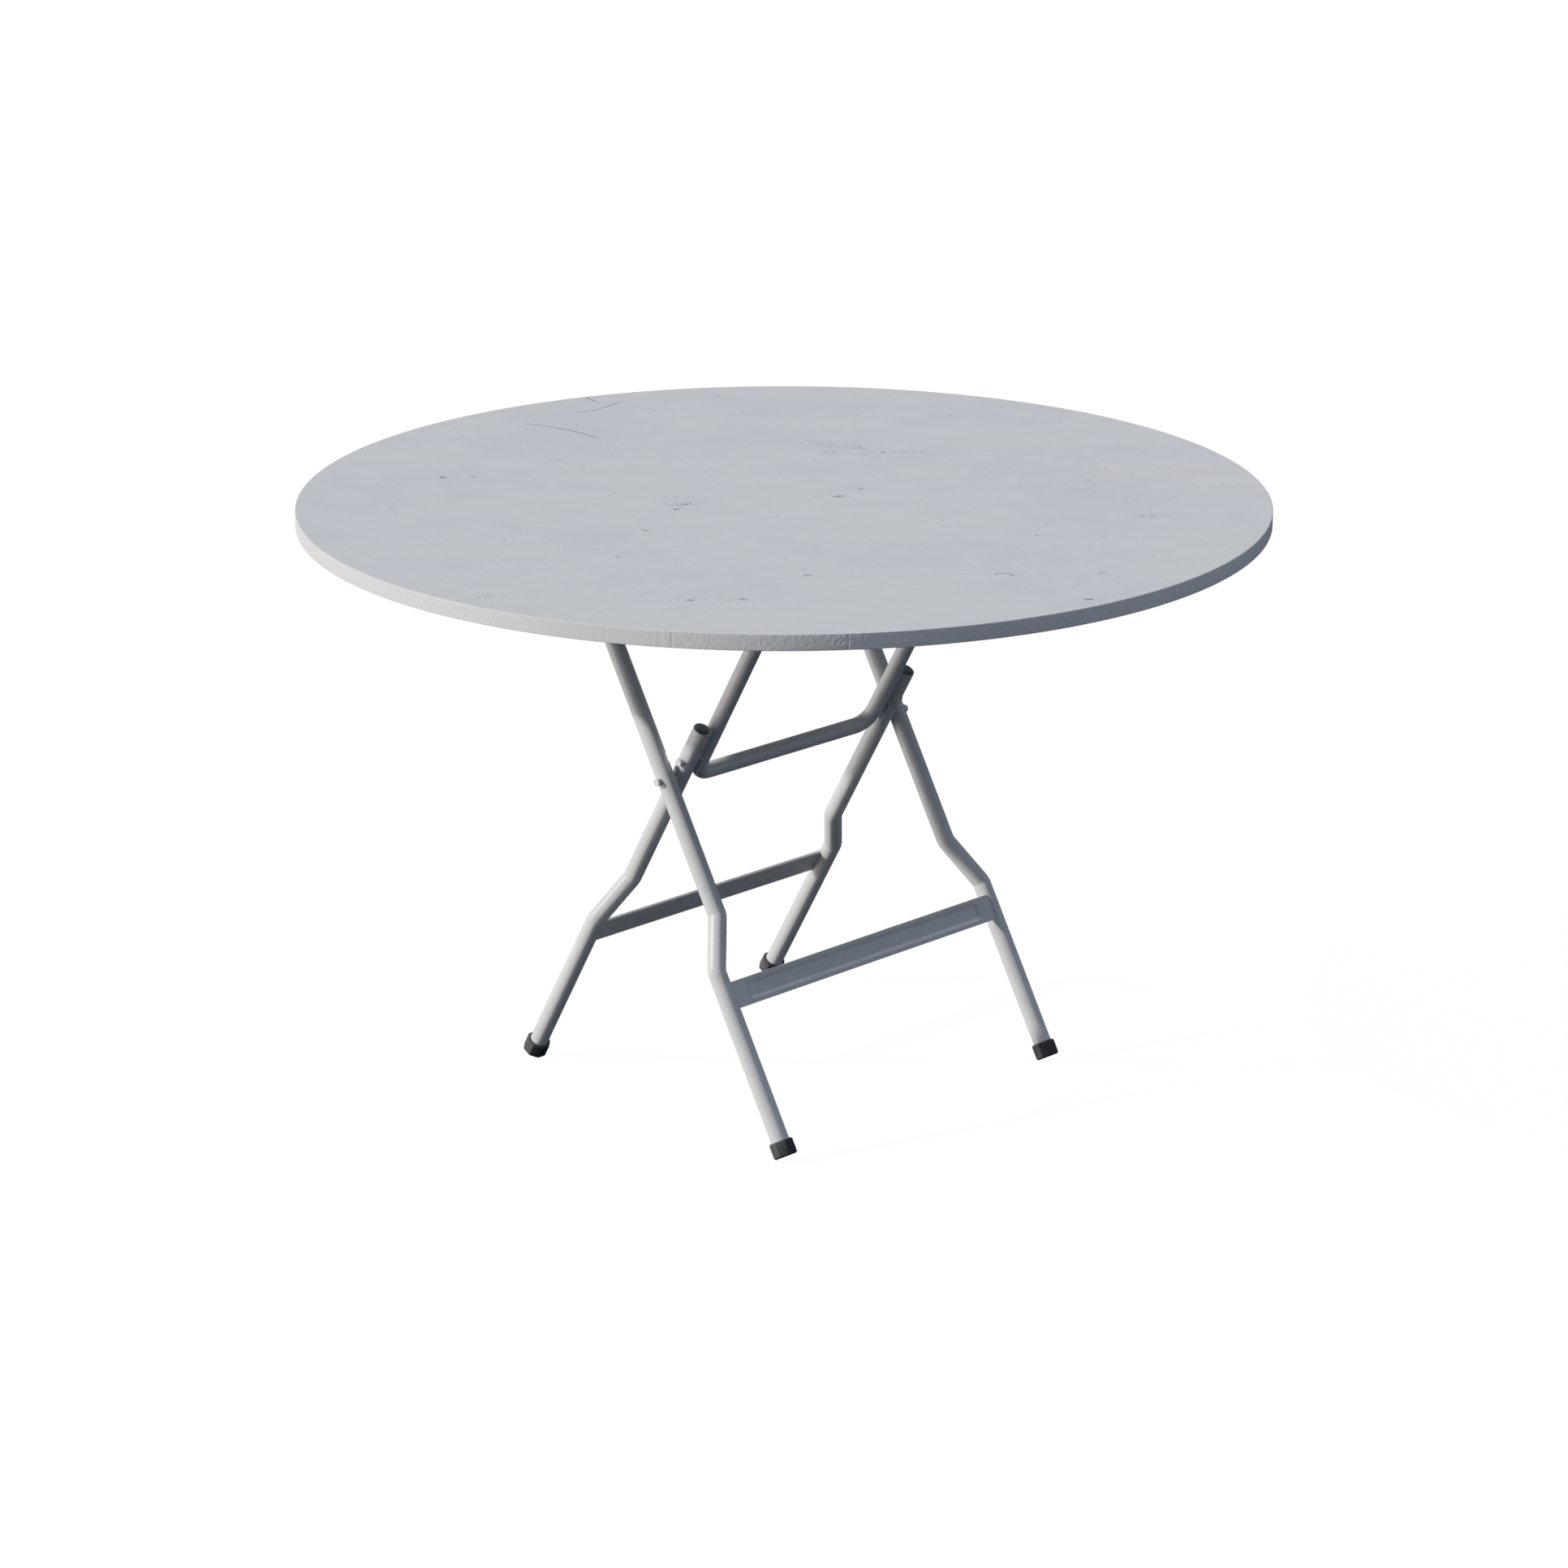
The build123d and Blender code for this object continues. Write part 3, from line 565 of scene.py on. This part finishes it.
finishes = {
    "top_laminate": surface("top_laminate", laminate),
    "edge_plastic": surface("edge_plastic", band_plastic),
    "backing": surface("backing", board_backing),
    "core_board": surface("core_board", chipboard),
    "batten_wood": surface("batten_wood", painted_wood),
    "frame_paint": surface("frame_paint", powder_coat(FRAME_SHADE)),
    "pin_paint": surface("pin_paint", powder_coat(PIN_SHADE)),
    "zinc_steel": surface("zinc_steel", zinc),
    "latch_paint": surface("latch_paint", powder_coat(LATCH_SHADE, LATCH_ROUGHNESS)),
    "foot_rubber": surface("foot_rubber", rubber),
}

# ---------------------------------------------------------------- finishes of the CAD nodes
for row in frame["record"]["subparts"]:
    node = nodes[row["node"]]
    node.data.materials.clear()
    node.data.materials.append(finishes[row["material_slot"]])

# Spreader A gets the full painted light on its upward-facing ledge; spreader B gets none.
for name, ledge_light_amount in (("spreader_a", 1.0), ("spreader_b", 0.0)):
    nodes[name].data.materials[0] = surface(f"{name}_paint", bar_paint(ledge_light_amount))


# ---------------------------------------------------------------- mesh helpers
def add_piece(name, verts, faces, body, slot, replaced, smooth_angle):
    """Mesh object that rides on a body, takes a slot's finish and stands for a CAD node."""
    mesh = bpy.data.meshes.new(name)
    mesh.from_pydata(verts, [], faces)
    work = bmesh.new()
    work.from_mesh(mesh)
    bmesh.ops.recalc_face_normals(work, faces=work.faces)
    work.to_mesh(mesh)
    work.free()
    mesh.materials.append(finishes[slot])
    piece = bpy.data.objects.new(name, mesh)
    bpy.context.scene.collection.objects.link(piece)
    mesh.shade_smooth()
    mesh.set_sharp_from_angle(angle=math.radians(smooth_angle))
    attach(piece, body)
    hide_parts(replaced)


def loft(rings, closed=False):
    """Vertices and quads through rings of equal length, each ring closed on itself."""
    count = len(rings[0])
    verts = [point for ring in rings for point in ring]
    faces = []
    last = len(rings) if closed else len(rings) - 1
    for r in range(last):
        low, high = r * count, ((r + 1) % len(rings)) * count
        for i in range(count):
            j = (i + 1) % count
            faces.append((low + i, low + j, high + j, high + i))
    return verts, faces


# ---------------------------------------------------------------- edge band with its butt joints
# Headings of the joints. Each is a groove between two more rows of points on either side.
BAND_JOINTS = [-57.0, -38.0, 9.5, 96.0, 171.0]
JOINT_HALF = 0.0007
JOINT_DEPTH = 0.0004
JOINT_ROWS = ((-2, 0.0), (-1, 0.0), (0, JOINT_DEPTH), (1, 0.0), (2, 0.0))
BAND_ROUND = 0.0011
BAND_CORNER = [math.radians(angle) for angle in range(0, 91, 15)]
BAND_SIDE = (0.3, 0.5, 0.7)
BAND_STEPS = 540
BAND_SMOOTH = 40

band_low, band_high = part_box("edge_band")
band_outer = min(band_high.x, -band_low.x)
band_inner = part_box("top_sheet")[1].x
depth_at = {math.radians(360.0 * step / BAND_STEPS): 0.0 for step in range(BAND_STEPS)}
for joint in BAND_JOINTS:
    for offset, depth in JOINT_ROWS:
        turn = math.radians(joint) % (2 * math.pi) + offset * JOINT_HALF / band_outer
        depth_at[turn] = depth


def band_profile():
    """Radius and height round the band's section, and how much a joint pulls each point in."""
    low, high = band_low.z, band_high.z
    middle = band_outer - BAND_ROUND
    points = [(band_inner, low, 0.0)]
    for angle in BAND_CORNER:
        out, up = BAND_ROUND * math.sin(angle), BAND_ROUND * math.cos(angle)
        points.append((middle + out, low + BAND_ROUND - up, 1.0))
    points += [(band_outer, low + (high - low) * share, 1.0) for share in BAND_SIDE]
    for angle in BAND_CORNER:
        out, up = BAND_ROUND * math.cos(angle), BAND_ROUND * math.sin(angle)
        points.append((middle + out, high - BAND_ROUND + up, 1.0))
    points.append((band_inner, high, 0.0))
    return points


profile = band_profile()
band_rings = []
for turn, depth in sorted(depth_at.items()):
    band_rings.append([
        ((radius - depth * pull) * math.cos(turn), (radius - depth * pull) * math.sin(turn), z)
        for radius, z, pull in profile
    ])
band_verts, band_faces = loft(band_rings, closed=True)
add_piece(
    "edge_band_jointed", band_verts, band_faces, "table_top", "edge_plastic", "edge_band", BAND_SMOOTH
)

# ---------------------------------------------------------------- moulded feet
LEG_TILT = math.radians(60.0)
FERRULE_SIDES = 8
FERRULE_POINTS = FERRULE_SIDES * 4
HALF_SIDE = math.pi / FERRULE_SIDES
FERRULE_LENGTH = 0.020
SOLE_PROUD = 0.0006
FERRULE_RADIUS = 0.0161
CORNER_REACH = 0.985
CHAMFER = 0.0018
SOCKET_RADIUS = 0.01165
SOCKET_DEPTH = 0.015
SOCKET_LIP = 0.0005
LOOP_GAP = 0.0004
SOLE_MIDDLE = 0.006
FERRULE_SMOOTH = 28
# The chamfer of an end: how far from the end, and how far in from the full radius.
CHAMFER_STEPS = (
    (0.0, CHAMFER + LOOP_GAP), (0.0003, CHAMFER), (CHAMFER, 0.0001), (CHAMFER + LOOP_GAP, 0.0),
)


def leg_axes(lean):
    """Axes at the end of a leg that leans to +X or -X; the third runs down the tube to the floor."""
    down = Vector((lean * math.cos(LEG_TILT), 0.0, -math.sin(LEG_TILT)))
    out = Vector((lean * math.sin(LEG_TILT), 0.0, math.cos(LEG_TILT)))
    return Matrix((out, down.cross(out), down)).transposed()


def round_reach(size, angle):
    """A circle's radius is the same at every angle."""
    return size


def eight_sided_reach(size, angle):
    """Radius of an octagon with slightly cut corners, at an angle."""
    from_side = (angle + HALF_SIDE) % (2 * HALF_SIDE) - HALF_SIDE
    return min(size * math.cos(HALF_SIDE) / math.cos(from_side), size * CORNER_REACH)


def ferrule(name, lean, node, body):
    """An eight-sided rubber foot with chamfered ends and a socket for the tube."""
    low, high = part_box(node)
    centre = Vector(((low.x + high.x) / 2, (low.y + high.y) / 2, (low.z + high.z) / 2))
    axes = leg_axes(lean)
    start, end = -FERRULE_LENGTH / 2, FERRULE_LENGTH / 2 + SOLE_PROUD

    def ring(reach, size, outline=round_reach):
        points = []
        for i in range(FERRULE_POINTS):
            angle = 2 * math.pi * i / FERRULE_POINTS
            radius = outline(size, angle)
            local = Vector((radius * math.cos(angle), radius * math.sin(angle), reach))
            points.append(centre + axes @ local)
        return points

    rings = [
        ring(start + SOCKET_DEPTH, SOCKET_RADIUS),
        ring(start + LOOP_GAP, SOCKET_RADIUS),
        ring(start, SOCKET_RADIUS + SOCKET_LIP),
    ]
    for back, inset in CHAMFER_STEPS:
        rings.append(ring(start + back, FERRULE_RADIUS - inset, eight_sided_reach))
    for back, inset in reversed(CHAMFER_STEPS):
        rings.append(ring(end - back, FERRULE_RADIUS - inset, eight_sided_reach))
    rings.append(ring(end, SOLE_MIDDLE))
    verts, faces = loft(rings)
    faces.append(tuple(range(FERRULE_POINTS)))
    faces.append(tuple(range(len(verts) - FERRULE_POINTS, len(verts))))
    add_piece(name, verts, faces, body, "foot_rubber", node, FERRULE_SMOOTH)


for side in ("left", "right"):
    ferrule("ferrule_a_" + side, 1, "foot_a_" + side, "frame_a")
    ferrule("ferrule_b_" + side, -1, "foot_b_" + side, "frame_b")
